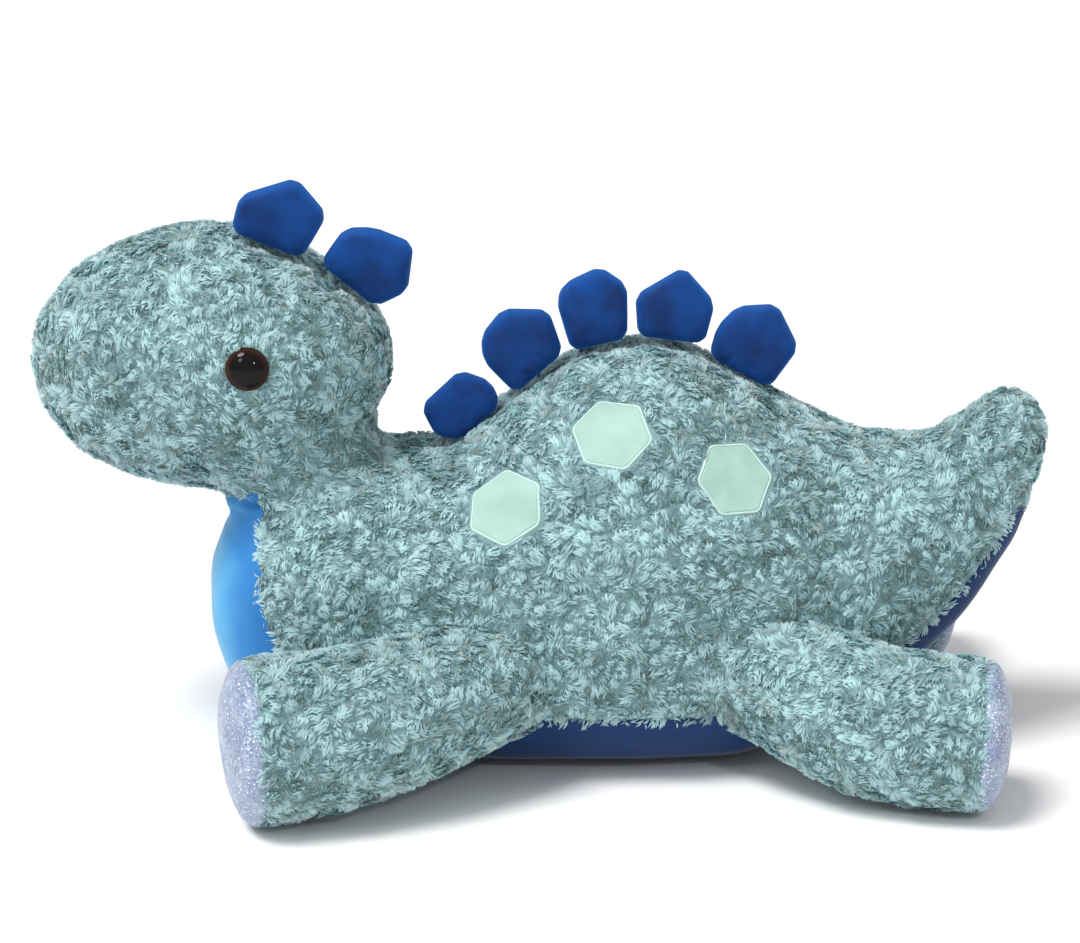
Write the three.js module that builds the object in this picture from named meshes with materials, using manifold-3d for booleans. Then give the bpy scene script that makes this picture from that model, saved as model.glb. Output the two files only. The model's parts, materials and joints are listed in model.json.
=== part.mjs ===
// A giant plush stegosaurus that lies on its belly with its legs spread out.
// Millimetres, +Z up. The head points to -X, the tail to +X, and the animal's left side faces -Y.
// The origin is on the floor, under the middle of the whole toy.
import * as THREE from "three";
import { mergeVertices } from "three/addons/utils/BufferGeometryUtils.js";
import Module from "manifold-3d";

const wasm = await Module();
wasm.setup();

// Fabrics and clearances.
const FUR = 12; // backing cloth and pile together
const VELVET = 3;
const GAP = 0.4; // left between two pieces that touch
const FAR = 900; // a size that reaches past the whole toy

// How far each seam lets its piece swing, in degrees.
const NOD = 8;
const WAG = 10;
const LEG_SWING = 10;

// The head rests tipped towards the toy's left.
const HEAD_TILT = 12;

const degrees = THREE.MathUtils.degToRad;
const vector = (x, y, z) => new THREE.Vector3(x, y, z);
const X = vector(1, 0, 0);
const Y = vector(0, 1, 0);
const Z = vector(0, 0, 1);

// ---------- Solids ----------

function solidOf(geometry) {
  const bare = new THREE.BufferGeometry();
  bare.setAttribute("position", geometry.getAttribute("position"));
  bare.setIndex(geometry.index);
  const merged = mergeVertices(bare, 1e-4);
  return new wasm.Manifold(
    new wasm.Mesh({
      numProp: 3,
      vertProperties: new Float32Array(merged.attributes.position.array),
      triVerts: new Uint32Array(merged.index.array),
    }),
  );
}

function geometryOf(solid) {
  const mesh = solid.getMesh();
  const geometry = new THREE.BufferGeometry();
  geometry.setAttribute("position", new THREE.BufferAttribute(mesh.vertProperties, 3));
  geometry.setIndex(new THREE.BufferAttribute(mesh.triVerts, 1));
  geometry.computeVertexNormals();
  return geometry;
}

function moved(solid, matrix) {
  const geometry = geometryOf(solid).applyMatrix4(matrix);
  if (matrix.determinant() < 0) geometry.index.array.reverse();
  return solidOf(geometry);
}

const mirrored = (solid) => moved(solid, new THREE.Matrix4().makeScale(1, -1, 1));

function turned(solid, pivot, axis, angle) {
  const matrix = new THREE.Matrix4().makeTranslation(pivot);
  matrix.multiply(new THREE.Matrix4().makeRotationAxis(axis, degrees(angle)));
  matrix.multiply(new THREE.Matrix4().makeTranslation(pivot.clone().negate()));
  return moved(solid, matrix);
}

// The outline lies in the plane of across and outward, and runs far both ways at right angles.
function cutter(outline, origin, across, outward) {
  const shape = new THREE.Shape(outline.map(([u, v]) => new THREE.Vector2(u, v)));
  const geometry = new THREE.ExtrudeGeometry(shape, { depth: 2 * FAR, bevelEnabled: false });
  const third = across.clone().cross(outward);
  geometry.translate(0, 0, -FAR);
  geometry.applyMatrix4(new THREE.Matrix4().makeBasis(across, outward, third).setPosition(origin));
  return solidOf(geometry);
}

function halfSpace(origin, outward) {
  const helper = Math.abs(outward.z) > 0.9 ? X : Z;
  const across = helper.clone().cross(outward).normalize();
  return cutter([[-FAR, 0], [FAR, 0], [FAR, FAR], [-FAR, FAR]], origin, across, outward);
}

// ---------- Stuffed forms ----------

// Rounded sections strung on a spine. A station holds the spine's point, the half width,
// and how far the section reaches up and down from the spine. Both ends close in domes.
class StuffedForm {
  constructor({ stations, startDome, endDome, upper = 2, lower = 2, sides = 24, rings = 12 }) {
    const spots = stations.map(({ at }) => vector(...at));
    const girths = stations.map(({ half, up, down }) => vector(half, up, down));
    this.spine = new THREE.CatmullRomCurve3(spots, false, "catmullrom", 0.5);
    this.girth = new THREE.CatmullRomCurve3(girths, false, "catmullrom", 0.5);
    this.spine.arcLengthDivisions = 400;
    this.length = this.spine.getLength();
    Object.assign(this, { startDome, endDome, upper, lower, sides, rings });
  }

  swell(along, inset) {
    const start = this.startDome - inset;
    const end = this.endDome - inset;
    const fromStart = along - inset;
    const fromEnd = this.length - inset - along;
    const dome = (distance, reach) =>
      distance >= reach ? 1 : Math.sqrt(Math.max(0, 1 - (1 - distance / reach) ** 2));
    return dome(fromStart, start) * dome(fromEnd, end);
  }

  // The angle is 0 at the right side of the section, 90 at its top and 180 at its left side.
  point(along, angle, inset = 0) {
    const t = this.spine.getUtoTmapping(THREE.MathUtils.clamp(along / this.length, 0, 1));
    const tangent = this.spine.getTangent(t);
    const side = Z.clone().cross(tangent).normalize();
    const up = tangent.clone().cross(side);
    const girth = this.girth.getPoint(t);
    const swell = this.swell(along, inset);
    const c = Math.cos(degrees(angle));
    const s = Math.sin(degrees(angle));
    const power = 2 / (s < 0 ? this.lower : this.upper);
    const reach = (s < 0 ? girth.z : girth.y) - inset;
    const out = Math.sign(c) * Math.abs(c) ** power * (girth.x - inset) * swell;
    const rise = Math.sign(s) * Math.abs(s) ** power * reach * swell;
    const place = this.spine.getPoint(t).addScaledVector(side, out).addScaledVector(up, rise);
    place.z = Math.max(place.z, inset); // pressed flat where it lies on the floor
    return place;
  }

  stops(inset) {
    const quarter = [0.35, 0.7, 1];
    const first = quarter.map((q) => inset + (this.startDome - inset) * (1 - Math.cos((q * Math.PI) / 2)));
    const last = quarter.map(
      (q) => this.length - inset - (this.endDome - inset) * (1 - Math.cos((q * Math.PI) / 2)),
    );
    const from = first.at(-1);
    const step = (last.at(-1) - from) / this.rings;
    const middle = Array.from({ length: this.rings - 1 }, (_, k) => from + step * (k + 1));
    return [...first, ...middle, ...last.reverse()];
  }

  solid(inset = 0) {
    const stops = this.stops(inset);
    const positions = [];
    for (const along of stops) {
      for (let k = 0; k < this.sides; k++) {
        positions.push(...this.point(along, (360 * k) / this.sides, inset));
      }
    }
    const startPole = stops.length * this.sides;
    positions.push(...this.point(inset, 0, inset));
    positions.push(...this.point(this.length - inset, 0, inset));
    const faces = [];
    const last = (stops.length - 1) * this.sides;
    for (let k = 0; k < this.sides; k++) {
      const next = (k + 1) % this.sides;
      faces.push(startPole, next, k);
      faces.push(startPole + 1, last + k, last + next);
      const onLeft = k >= this.sides / 4 && k < (3 * this.sides) / 4;
      for (let ring = 0; ring < last; ring += this.sides) {
        const above = ring + this.sides;
        faces.push(ring + k, ring + next, onLeft ? above + next : above + k);
        faces.push(onLeft ? ring + k : ring + next, above + next, above + k);
      }
    }
    const geometry = new THREE.BufferGeometry();
    geometry.setAttribute("position", new THREE.Float32BufferAttribute(positions, 3));
    geometry.setIndex(faces);
    return solidOf(geometry);
  }

  // Where the line at this angle round the form passes a given x.
  alongAt(x, angle) {
    let low = this.startDome;
    let high = this.length;
    for (let k = 0; k < 40; k++) {
      const middle = (low + high) / 2;
      if (this.point(middle, angle).x < x) low = middle;
      else high = middle;
    }
    return (low + high) / 2;
  }

  // A frame on the surface: x along the form, y across it and z outward.
  frameAt(x, angle) {
    const along = this.alongAt(x, angle);
    const here = this.point(along, angle);
    const forward = this.point(along + 8, angle).sub(this.point(along - 8, angle)).normalize();
    const around = this.point(along, angle + 4).sub(this.point(along, angle - 4));
    const outward = around.cross(forward).normalize();
    const across = outward.clone().cross(forward);
    return new THREE.Matrix4().makeBasis(forward, across, outward).setPosition(here);
  }
}

const torso = new StuffedForm({
  stations: [
    { at: [-304, 0, 168], half: 108, up: 90, down: 118 },
    { at: [-235, 0, 158], half: 138, up: 124, down: 152 },
    { at: [-155, 0, 150], half: 158, up: 134, down: 157 },
    { at: [-88, 0, 148], half: 166, up: 132, down: 156 },
    { at: [-35, 0, 148], half: 170, up: 172, down: 156 },
    { at: [20, 0, 148], half: 172, up: 215, down: 156 },
    { at: [90, 0, 149], half: 171, up: 230, down: 157 },
    { at: [165, 0, 153], half: 160, up: 221, down: 158 },
    { at: [240, 0, 170], half: 132, up: 184, down: 146 },
    { at: [310, 0, 198], half: 104, up: 118, down: 116 },
    { at: [366, 0, 234], half: 80, up: 60, down: 86 },
    { at: [412, 0, 280], half: 58, up: 38, down: 52 },
    { at: [436, 0, 330], half: 38, up: 30, down: 32 },
  ],
  startDome: 95,
  endDome: 34,
  upper: 2.1,
  lower: 2.8,
  sides: 20,
  rings: 11,
});

const head = new StuffedForm({
  stations: [
    { at: [-462, 0, 352], half: 78, up: 84, down: 88 },
    { at: [-400, 0, 356], half: 94, up: 98, down: 104 },
    { at: [-330, 0, 361], half: 116, up: 118, down: 125 },
    { at: [-265, 0, 362], half: 124, up: 119, down: 128 },
    { at: [-205, 0, 358], half: 118, up: 94, down: 120 },
    { at: [-130, 0, 338], half: 100, up: 74, down: 92 },
  ],
  startDome: 84,
  endDome: 92,
  sides: 16,
  rings: 6,
});

const leg = (stations, endDome) =>
  new StuffedForm({ stations, startDome: 44, endDome, sides: 14, rings: 4 });

const frontLeg = leg(
  [
    { at: [10, -88, 108], half: 52, up: 50, down: 52 },
    { at: [-50, -150, 101], half: 62, up: 58, down: 62 },
    { at: [-130, -205, 90], half: 70, up: 66, down: 72 },
    { at: [-205, -232, 80], half: 76, up: 73, down: 79 },
    { at: [-274, -248, 77], half: 76, up: 74, down: 77 },
  ],
  26,
);

const rearLeg = leg(
  [
    { at: [165, -88, 104], half: 52, up: 50, down: 52 },
    { at: [215, -138, 98], half: 62, up: 60, down: 66 },
    { at: [282, -184, 82], half: 69, up: 66, down: 76 },
    { at: [345, -202, 74], half: 71, up: 68, down: 74 },
    { at: [409, -210, 71], half: 70, up: 68, down: 71 },
  ],
  24,
);

const bodyAndHead = (inset = 0) => torso.solid(inset).add(head.solid(inset));

// ---------- Fabric panels ----------

// Cuts a form into its fur shell, its velvet panel and the stuffing behind both.
function dressed(form, region, grownRegion) {
  return {
    fur: form(0).subtract(form(FUR)).subtract(grownRegion),
    velvet: form(0).subtract(form(VELVET)).intersect(region),
    stuffing: form(FUR + GAP).add(form(VELVET + GAP).intersect(region)),
  };
}

// The velvet covers the chest, the belly and the underside of the tail.
// Its side seam is drawn in the side view, as x and z, from the chin to the tip of the tail.
function bellyRegion(grow) {
  const chest = [[-250, 262], [-254, 215], [-250, 150], [-226, 100], [-180, 70], [-110, 60]];
  const rear = [[180, 60], [250, 72], [310, 96], [360, 134], [400, 180], [430, 225]];
  const seam = [
    ...chest.map(([x, z]) => [x + grow, z + grow]),
    ...rear.map(([x, z]) => [x - grow, z + grow]),
  ];
  const outline = [[-FAR, -FAR], [FAR, -FAR], [FAR, seam.at(-1)[1]], ...seam.reverse(), [-FAR, 262]];
  return cutter(outline, vector(0, 0, 0), X, Z);
}

const cloth = dressed(bodyAndHead, bellyRegion(0), bellyRegion(GAP));
const headCloth = {
  fur: bodyAndHead(0).subtract(bodyAndHead(FUR)),
  stuffing: bodyAndHead(FUR + GAP),
};

// ---------- Seams that bend ----------

// Each piece of a bending seam stops at a shallow V, so that it can swing without touching.
function beyond({ pivot, across, outward, swing, reach = FAR, room = 0 }) {
  const rise = (u) => Math.sign(swing) * (GAP / 2 + u * Math.tan(degrees(Math.abs(swing) / 2)));
  const outline = [[0, rise(0)], [reach + room, rise(reach)], [reach + room, FAR], [-FAR, FAR], [-FAR, rise(FAR)]];
  return cutter(outline, pivot, across, outward);
}

// The neck seam leans back a little. Behind it the head ends at the dip before the back.
const NECK = vector(-200, 0, 262);
const NECK_LEAN = 14;
const NECK_REACH = 104;
const neckAcross = X.clone().applyAxisAngle(Y, degrees(-NECK_LEAN));
const neckOutward = Z.clone().applyAxisAngle(Y, degrees(-NECK_LEAN));
const neckCut = { pivot: NECK, across: neckAcross, outward: neckOutward, reach: NECK_REACH };
const headSide = beyond({ ...neckCut, swing: NOD });
const headRoom = beyond({ ...neckCut, swing: -NOD, room: 4 });

const TAIL = vector(262, 0, 0);
const tailSide = beyond({ pivot: TAIL, across: Y.clone().negate(), outward: X, swing: WAG });
const tailRoom = beyond({ pivot: TAIL, across: Y.clone().negate(), outward: X, swing: -WAG });

const onHead = (solid) => solid.intersect(headSide);
const onTail = (solid) => solid.intersect(tailSide);
const onTorso = (solid) => solid.subtract(headRoom).subtract(tailRoom);

const leftHalf = halfSpace(vector(0, -GAP / 2, 0), Y.clone().negate());
const rightHalf = halfSpace(vector(0, GAP / 2, 0), Y);
const HEAD_AXIS = vector(0, 0, 362);
const tipped = (half) => turned(half, HEAD_AXIS, X, HEAD_TILT);

// ---------- Legs ----------

// The torso with its tail at rest and at both ends of its swing.
const torsoRoom = torso.solid(-GAP);
const wagged = [-WAG, WAG].reduce(
  (room, angle) => room.add(turned(onTail(torsoRoom), TAIL, Z, angle)),
  torsoRoom,
);

// A leg stops at the flank that it is sewn to, with room for its swing.
function dressedLeg(form, hinge) {
  const foot = form.length - form.endDome;
  const tip = form.length;
  const outward = form.spine.getTangent(1);
  const padSeam = form.spine.getPointAt(foot / tip);
  const region = halfSpace(padSeam, outward);
  const grown = halfSpace(padSeam.clone().addScaledVector(outward, -GAP), outward);
  const leg = dressed((inset = 0) => form.solid(inset), region, grown);
  let flank = wagged;
  for (const angle of [-LEG_SWING, LEG_SWING]) flank = flank.add(turned(wagged, hinge, Z, angle));
  return {
    fur: leg.fur.subtract(flank),
    velvet: leg.velvet.subtract(flank),
    stuffing: leg.stuffing.subtract(flank),
  };
}

const FRONT_HIP = vector(-60, -150, 0);
const REAR_HIP = vector(215, -138, 0);
const legs = {
  front: dressedLeg(frontLeg, FRONT_HIP),
  rear: dressedLeg(rearLeg, REAR_HIP),
};

// ---------- Back plates ----------

// Each plate is a small pillow. Its outline is seen from the toy's left side:
// u runs back along the ridge and v outward from the seam that holds the plate.
const PLATE_THICK = 30;
const PLATE_SUNK = 7; // the pile hides the foot of each plate
const SLOT = { length: 94, width: 31, depth: 38, middle: 12 }; // room for a flopping plate's foot
const OPENING = { length: 30, depth: 24, width: 7 }; // where the plate is filled, under its seam
const PLATES = [
  { on: head, x: -240, outline: [[-35, 0], [-39, 34], [3, 70], [42, 48], [35, 0]] },
  { on: head, x: -168, outline: [[-32, 0], [-36, 40], [-16, 58], [22, 70], [47, 32], [34, 0]] },
  { on: torso, x: -59, outline: [[-22, 0], [-38, 20], [-29, 50], [22, 50], [36, 22], [28, 0]] },
  { on: torso, x: -3, outline: [[-32, 0], [-34, 44], [-20, 63], [12, 69], [44, 40], [28, 0]] },
  { on: torso, x: 51, outline: [[-26, 0], [-29, 50], [-18, 64], [18, 72], [39, 49], [28, 0]] },
  { on: torso, x: 118, outline: [[-31, 0], [-38, 38], [4, 70], [37, 40], [32, 0]] },
  { on: torso, x: 178, outline: [[-28, 0], [-35, 28], [-28, 54], [4, 74], [42, 48], [37, 0]] },
];

function roundedOutline(corners, radius, inset) {
  const middle = corners.reduce(([a, b], [u, v]) => [a + u / corners.length, b + v / corners.length], [0, 0]);
  const size = Math.max(...corners.map(([u, v]) => Math.hypot(u - middle[0], v - middle[1])));
  const shrink = 1 - inset / (0.8 * size);
  const drawn = corners.map(([u, v]) =>
    new THREE.Vector2(middle[0] + (u - middle[0]) * shrink, middle[1] + (v - middle[1]) * shrink),
  );
  const points = [];
  drawn.forEach((corner, k) => {
    const before = drawn.at(k - 1);
    const after = drawn[(k + 1) % drawn.length];
    points.push(corner.clone().addScaledVector(before.clone().sub(corner).normalize(), radius));
    points.push(corner.clone().addScaledVector(after.clone().sub(corner).normalize(), radius));
  });
  return { points, middle };
}

// A pillow is built from its outline, in rings that shrink as the two faces swell.
function pillow(corners, thick, inset) {
  const { points, middle } = roundedOutline(corners, 6, inset);
  const rings = [1, 0.86, 0.5];
  const swell = (s) => (thick / 2 - inset) * (1 - s ** 3) ** 0.7;
  const positions = [];
  const ring = (s, side) =>
    points.forEach((p) =>
      positions.push(
        middle[0] + (p.x - middle[0]) * s,
        middle[1] + (p.y - middle[1]) * s,
        side * swell(s),
      ),
    );
  ring(rings[2], -1);
  ring(rings[1], -1);
  ring(rings[0], 0);
  ring(rings[1], 1);
  ring(rings[2], 1);
  const count = points.length;
  const poles = 5 * count;
  positions.push(...middle, -swell(0), ...middle, swell(0));
  const faces = [];
  for (let k = 0; k < count; k++) {
    const next = (k + 1) % count;
    faces.push(poles, k, next);
    faces.push(poles + 1, 4 * count + next, 4 * count + k);
    for (let row = 0; row < 4 * count; row += count) {
      faces.push(row + k, row + count + k, row + next);
      faces.push(row + next, row + count + k, row + count + next);
    }
  }
  const geometry = new THREE.BufferGeometry();
  geometry.setAttribute("position", new THREE.Float32BufferAttribute(positions, 3));
  geometry.setIndex(faces);
  const solid = solidOf(geometry);
  if (solid.volume() > 0) return solid;
  geometry.index.array.reverse();
  return solidOf(geometry);
}

// The frame of a plate: x back along the ridge, y outward and z to the toy's left.
function plateFrame({ on, x }) {
  const surface = on.frameAt(x, on === head ? 90 + HEAD_TILT : 90);
  const [back, across, outward] = [vector(), vector(), vector()];
  surface.extractBasis(back, across, outward);
  const place = vector().setFromMatrixPosition(surface).addScaledVector(outward, -PLATE_SUNK);
  return new THREE.Matrix4().makeBasis(back, outward, back.clone().cross(outward)).setPosition(place);
}

function plate(design) {
  const frame = plateFrame(design);
  const slot = new THREE.BoxGeometry(SLOT.length, SLOT.depth, SLOT.width).translate(0, SLOT.middle, 0);
  const opening = new THREE.BoxGeometry(OPENING.length, OPENING.depth, OPENING.width);
  const cover = pillow(design.outline, PLATE_THICK, 0)
    .subtract(pillow(design.outline, PLATE_THICK, VELVET))
    .subtract(solidOf(opening));
  const filling = pillow(design.outline, PLATE_THICK, VELVET + GAP);
  return {
    cover: moved(cover, frame),
    filling: moved(filling, frame),
    slot: solidOf(slot.applyMatrix4(frame)),
  };
}

// ---------- Spots and eyes ----------

const SPOT_SIDE = 38;
const SPOT_SUNK = 5;
const SPOTS = [
  { name: "front", x: -33, angle: 142, turn: 12 },
  { name: "middle", x: 62, angle: 132, turn: -14 },
  { name: "rear", x: 173, angle: 145, turn: 8 },
];

function hexagonPrism(frame, turn, side) {
  const corners = Array.from({ length: 6 }, (_, k) => {
    const angle = degrees(60 * k + turn);
    return new THREE.Vector2(side * Math.cos(angle), side * Math.sin(angle));
  });
  const options = { depth: 90, bevelEnabled: false };
  const geometry = new THREE.ExtrudeGeometry(new THREE.Shape(corners), options);
  geometry.translate(0, 0, -40);
  return solidOf(geometry.applyMatrix4(frame));
}

const EYE_RADIUS = 19;
const EYE_HEIGHT = 12;
const EYE_SUNK = 5;
const EYE = { x: -253, fromCrest: 72 };

function turnedPiece(profile, frame) {
  const points = profile.map(([r, h]) => new THREE.Vector2(r, h));
  const geometry = new THREE.LatheGeometry(points, 14).rotateX(Math.PI / 2);
  return solidOf(geometry.applyMatrix4(frame));
}

// A safety eye: a domed button with a stem, locked behind the fabric by a washer.
function safetyEye(frame) {
  const dome = Array.from({ length: 6 }, (_, k) => {
    const angle = (k * Math.PI) / 10;
    return [EYE_RADIUS * Math.cos(angle), EYE_HEIGHT * Math.sin(angle) - EYE_SUNK];
  });
  dome[5][0] = 0;
  const stem = [[0, -26], [3, -26], [3.5, -EYE_SUNK - 2], [EYE_RADIUS - 1, -EYE_SUNK - 2]];
  const washer = [[4, -20], [12, -20], [12, -17], [4, -17], [4, -20]];
  const recess = [[0, 20], [0, -30], [4.5, -30], [4.5, -EYE_SUNK - 3]];
  recess.push([EYE_RADIUS + 1, -EYE_SUNK - 3], [EYE_RADIUS + 1, 20], [0, 20]);
  const pocket = [[0, -8], [0, -30], [13, -30], [13, -8], [0, -8]];
  return {
    button: turnedPiece([...stem, ...dome], frame),
    washer: turnedPiece(washer, frame),
    recess: turnedPiece(recess, frame),
    pocket: turnedPiece(pocket, frame),
  };
}

// ---------- Assembly ----------

const finish = (color, roughness) => new THREE.MeshStandardMaterial({ color, roughness, metalness: 0 });
const furCloth = finish(0x7b9fa4, 0.95);
const blueVelvet = finish(0x1b4687, 0.8);
const bellyVelvet = finish(0x2f7fc4, 0.8);
const mintVelvet = finish(0xb4e1d5, 0.8);
const glitterCloth = finish(0x9fb0cf, 0.45);
const fibreFill = finish(0xf2f0ea, 1);
const eyePlastic = finish(0x24120a, 0.08);
const washerPlastic = finish(0xe8e6df, 0.5);

const dinosaur = new THREE.Group();
dinosaur.name = "plush_stegosaurus";

function put(name, solid, material) {
  const mesh = new THREE.Mesh(geometryOf(solid), material);
  mesh.name = name;
  dinosaur.add(mesh);
}

// Spots and eyes are made on the left side and mirrored to the right.
let torsoFur = onTorso(cloth.fur);
let headFur = onHead(headCloth.fur);
let headFilling = onHead(headCloth.stuffing);
for (const { name, x, angle, turn } of SPOTS) {
  const frame = torso.frameAt(x, angle);
  const layer = torso.solid(SPOT_SUNK).subtract(torso.solid(FUR));
  const spot = layer.intersect(hexagonPrism(frame, turn, SPOT_SIDE));
  const hole = hexagonPrism(frame, turn, SPOT_SIDE + GAP);
  torsoFur = torsoFur.subtract(hole).subtract(mirrored(hole));
  put(`spot_left_${name}`, spot, mintVelvet);
  put(`spot_right_${name}`, mirrored(spot), mintVelvet);
}

for (const side of ["left", "right"]) {
  const crest = 90 + HEAD_TILT;
  const angle = side === "left" ? crest + EYE.fromCrest : crest - EYE.fromCrest;
  const eye = safetyEye(head.frameAt(EYE.x, angle));
  headFur = headFur.subtract(eye.recess);
  headFilling = headFilling.subtract(eye.pocket);
  put(`eye_${side}`, eye.button, eyePlastic);
  put(`eye_washer_${side}`, eye.washer, washerPlastic);
}

PLATES.forEach((design, k) => {
  const { cover, filling, slot } = plate(design);
  if (design.on === head) headFur = headFur.subtract(slot);
  else torsoFur = torsoFur.subtract(slot);
  put(`plate_${k + 1}_cover`, cover, blueVelvet);
  put(`plate_${k + 1}_stuffing`, filling, fibreFill);
});

put("body_fur_left", torsoFur.intersect(leftHalf), furCloth);
put("body_fur_right", torsoFur.intersect(rightHalf), furCloth);
put("belly_panel", onTorso(cloth.velvet), bellyVelvet);
put("body_stuffing", onTorso(cloth.stuffing), fibreFill);
put("head_fur_left", headFur.intersect(tipped(leftHalf)), furCloth);
put("head_fur_right", headFur.intersect(tipped(rightHalf)), furCloth);
put("head_stuffing", headFilling, fibreFill);
put("tail_fur_left", onTail(cloth.fur).intersect(leftHalf), furCloth);
put("tail_fur_right", onTail(cloth.fur).intersect(rightHalf), furCloth);
put("tail_underside", onTail(cloth.velvet), bellyVelvet);
put("tail_stuffing", onTail(cloth.stuffing), fibreFill);

for (const [end, { fur, velvet, stuffing }] of Object.entries(legs)) {
  put(`${end}_left_leg_fur`, fur, furCloth);
  put(`${end}_left_foot_pad`, velvet, glitterCloth);
  put(`${end}_left_leg_stuffing`, stuffing, fibreFill);
  put(`${end}_right_leg_fur`, mirrored(fur), furCloth);
  put(`${end}_right_foot_pad`, mirrored(velvet), glitterCloth);
  put(`${end}_right_leg_stuffing`, mirrored(stuffing), fibreFill);
}

export default dinosaur;
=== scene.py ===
"""Looks for a giant plush stegosaurus: swirled fur, velvet plates and belly, glitter pads, glossy eyes.

Lengths are in metres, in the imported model's frame: +Z up, the head towards -X, the tail towards +X, and the
toy's left flank towards -Y, where the camera stands.
"""

import json
import math

import bmesh
import bpy
import numpy as np
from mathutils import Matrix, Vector, noise
from mathutils.bvhtree import BVHTree
from mathutils.kdtree import KDTree


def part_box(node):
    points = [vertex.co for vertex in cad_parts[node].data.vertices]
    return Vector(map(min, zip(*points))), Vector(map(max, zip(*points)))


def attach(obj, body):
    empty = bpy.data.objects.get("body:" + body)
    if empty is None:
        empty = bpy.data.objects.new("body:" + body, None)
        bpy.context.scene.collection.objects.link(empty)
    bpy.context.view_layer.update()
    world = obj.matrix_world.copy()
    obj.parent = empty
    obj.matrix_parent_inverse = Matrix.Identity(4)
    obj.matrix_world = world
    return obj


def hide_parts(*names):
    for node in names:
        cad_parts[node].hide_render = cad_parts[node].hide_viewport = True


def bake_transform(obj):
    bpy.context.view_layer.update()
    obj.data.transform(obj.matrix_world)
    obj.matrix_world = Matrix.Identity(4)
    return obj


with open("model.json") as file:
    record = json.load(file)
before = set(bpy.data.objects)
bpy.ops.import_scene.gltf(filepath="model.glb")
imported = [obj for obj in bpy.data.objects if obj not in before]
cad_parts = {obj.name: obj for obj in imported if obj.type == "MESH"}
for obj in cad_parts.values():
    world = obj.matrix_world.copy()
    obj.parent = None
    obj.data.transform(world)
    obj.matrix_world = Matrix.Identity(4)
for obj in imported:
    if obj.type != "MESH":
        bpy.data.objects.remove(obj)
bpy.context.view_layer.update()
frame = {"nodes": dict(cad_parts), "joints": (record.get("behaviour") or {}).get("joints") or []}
nodes = frame["nodes"]
joints = {joint["name"]: joint for joint in frame["joints"]}
rng = np.random.default_rng(20)

MM = 0.001
SIDES = ("left", "right")
LEGS = [f"{end}_{side}" for end in ("front", "rear") for side in SIDES]
PLATES = [f"plate_{k}" for k in range(1, 8)]
SPOTS = [f"{side}_{place}" for side in SIDES for place in ("front", "middle", "rear")]
CAD_PARTS = {"torso": "body", "head": "head", "tail": "tail"}  # a body, and its cloth's name in CAD

# How deep each kind of cloth lies under the CAD shells' outside.
FUR_BASE = 5.2 * MM
VELVET_BASE = 2.5 * MM
PAD_BASE = 2.0 * MM
SPOT_BASE = 4.0 * MM

# Fur: short crushed pile in low tufts, each with its own lean, and thin partings between them.
STRAND_AREA = 3.3 * MM * MM  # the cloth's area for each strand
TUFT_AREA = 120 * MM * MM
STRAND_LENGTH = 10.5 * MM
STRAND_WIDTH = 1.6 * MM
STRAND_HEIGHT = 5.8 * MM
SWIRL = 26 * MM  # the size of the swirls that the tufts follow
UNDER_VELVET = 14 * MM  # how far the velvet runs on under the fur's edge


# ---------- Meshes ----------


def mesh_object(name, verts, faces):
    """A linked object from coordinates and faces."""
    mesh = bpy.data.meshes.new(name)
    mesh.from_pydata([tuple(v) for v in verts], [], [tuple(f) for f in faces])
    mesh.validate()
    return link(name, mesh)


def link(name, mesh):
    obj = bpy.data.objects.new(name, mesh)
    bpy.context.scene.collection.objects.link(obj)
    return obj


def read_points(mesh, key):
    values = np.empty(len(mesh.vertices) * 3, np.float32)
    mesh.vertices.foreach_get(key, values)
    return values.reshape(-1, 3).astype(float)


def coords(mesh):
    return read_points(mesh, "co")


def set_coords(mesh, co):
    mesh.vertices.foreach_set("co", np.asarray(co, np.float32).ravel())
    mesh.update()


def vertex_normals(mesh):
    return read_points(mesh, "normal")


def apply_modifiers(obj):
    """Swaps the object's mesh for what its modifiers make of it."""
    depsgraph = bpy.context.evaluated_depsgraph_get()
    made = bpy.data.meshes.new_from_object(obj.evaluated_get(depsgraph))
    old = obj.data
    obj.modifiers.clear()
    obj.data = made
    bpy.data.meshes.remove(old)
    return obj


def modified(obj, kind, **settings):
    modifier = obj.modifiers.new("step", kind)
    for key, value in settings.items():
        setattr(modifier, key, value)
    return apply_modifiers(obj)


def remesh(obj, voxel):
    return modified(obj, "REMESH", mode="VOXEL", voxel_size=voxel)


def smooth(obj, times, factor=0.5):
    return modified(obj, "SMOOTH", iterations=times, factor=factor)


def subdivide(obj):
    return modified(obj, "SUBSURF", levels=1, render_levels=1)


def offset(obj, distance):
    set_coords(obj.data, coords(obj.data) + vertex_normals(obj.data) * distance)
    return obj


def joined(names):
    """A fresh mesh object that holds copies of some CAD nodes."""
    gathered = bmesh.new()
    for name in names:
        gathered.from_mesh(nodes[name].data)
    mesh = bpy.data.meshes.new("joined")
    gathered.to_mesh(mesh)
    gathered.free()
    return link("joined", mesh)


def remove(obj):
    mesh = obj.data
    bpy.data.objects.remove(obj)
    bpy.data.meshes.remove(mesh)


def tree_of(obj):
    mesh = obj.data
    return BVHTree.FromPolygons([v.co for v in mesh.vertices], [tuple(p.vertices) for p in mesh.polygons])


def tree_of_nodes(names):
    obj = joined(names)
    tree = tree_of(obj)
    remove(obj)
    return tree


def distances(tree, points):
    return np.array([tree.find_nearest(Vector(p))[3] for p in points])


def nearness(cloth, other, points):
    """How much further each point lies from some cloth than from other cloth; negative over the first."""
    return distances(cloth, points) - distances(other, points)


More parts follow.
